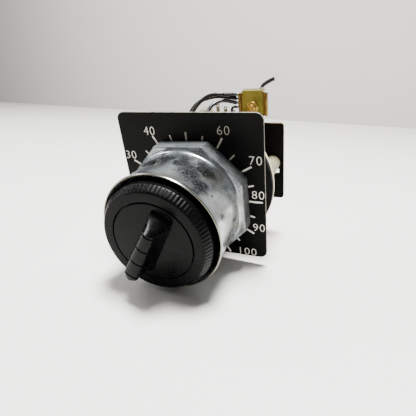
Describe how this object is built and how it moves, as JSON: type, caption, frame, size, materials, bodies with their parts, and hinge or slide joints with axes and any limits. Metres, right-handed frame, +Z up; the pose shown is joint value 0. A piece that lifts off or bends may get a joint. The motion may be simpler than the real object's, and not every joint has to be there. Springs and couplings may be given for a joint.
{
  "type": "variable autotransformer",
  "caption": "Small panel-mounted rotary variable autotransformer: square graduated dial plate, octagonal chromed ring nut, black knob with pointer lever, open frame behind the panel.",
  "frame": {"origin": "on the spindle axis at the dial plate's rear face, where the front face of the panel goes", "axes": "+Y along the spindle axis, into the panel; +Z up; +X to the right as seen from the knob"},
  "size_m": [0.0604, 0.0884, 0.0692],
  "materials": {
    "black_paint": "satin",
    "white_print": "matte",
    "worn_chrome": "dull, blotchy",
    "black_plastic": "matte",
    "rubber": "matte",
    "cream_laminate": "satin",
    "nylon": "satin",
    "plated_steel": "satin",
    "zinc_casting": "satin",
    "bronze": "satin",
    "brass": "satin",
    "yellow_zinc": "chromate passivated",
    "core_steel": "matte",
    "copper_wire": "enamelled",
    "fibre_paper": "matte",
    "phenolic": "satin",
    "wire_insulation": "satin",
    "carbon": "matte"
  },
  "bodies": {
    "operator": {"dial_plate": "black_paint", "scale_marks": "white_print", "ring_nut": "worn_chrome", "panel_gasket": "rubber", "carrier_disc": "cream_laminate", "barrel": "zinc_casting", "front_bush": "bronze", "rear_bush": "bronze", "shaft_seal": "rubber", "stop_pin": "plated_steel", "standoff_posts": "nylon", "post_screws_front": "plated_steel", "post_screws_rear": "plated_steel", "back_plate": "black_paint", "rear_bearing": "bronze", "core_spool": "nylon", "spool_screws": "plated_steel", "toroid_core": "core_steel", "core_wrap": "fibre_paper", "winding": "copper_wire", "end_leads": "copper_wire", "rear_insulator": "fibre_paper", "collector_finger": "bronze", "collector_rivets": "plated_steel", "terminal_bracket": "yellow_zinc", "bracket_rivets": "plated_steel", "wire_saddle": "bronze", "terminal_screw": "brass", "terminal_nut": "brass", "tag_board": "phenolic", "solder_tags": "brass", "tag_rivets": "plated_steel", "lead_line": "wire_insulation", "lead_return": "wire_insulation", "lead_wiper": "wire_insulation", "tap_jumper": "wire_insulation", "lead_stub": "wire_insulation"},
    "rotor": {"knob_body": "black_plastic", "knob_lever": "black_plastic", "knob_screw": "plated_steel", "spindle": "plated_steel", "thrust_washer": "nylon", "spindle_clip": "plated_steel", "stop_collar": "brass", "stop_collar_screw": "plated_steel", "brush_hub": "phenolic", "slip_ring": "brass", "brush_arm": "zinc_casting", "brush_holder": "brass", "carbon_brush": "carbon", "brush_spring": "bronze", "rear_clip": "plated_steel"}
  },
  "joints": [
    {"name": "knob_turn", "type": "hinge", "parent": "operator", "child": "rotor", "pos_m": [0, 0, 0], "axis": [0, 1, 0], "range_deg": [0, 300]}
  ]
}
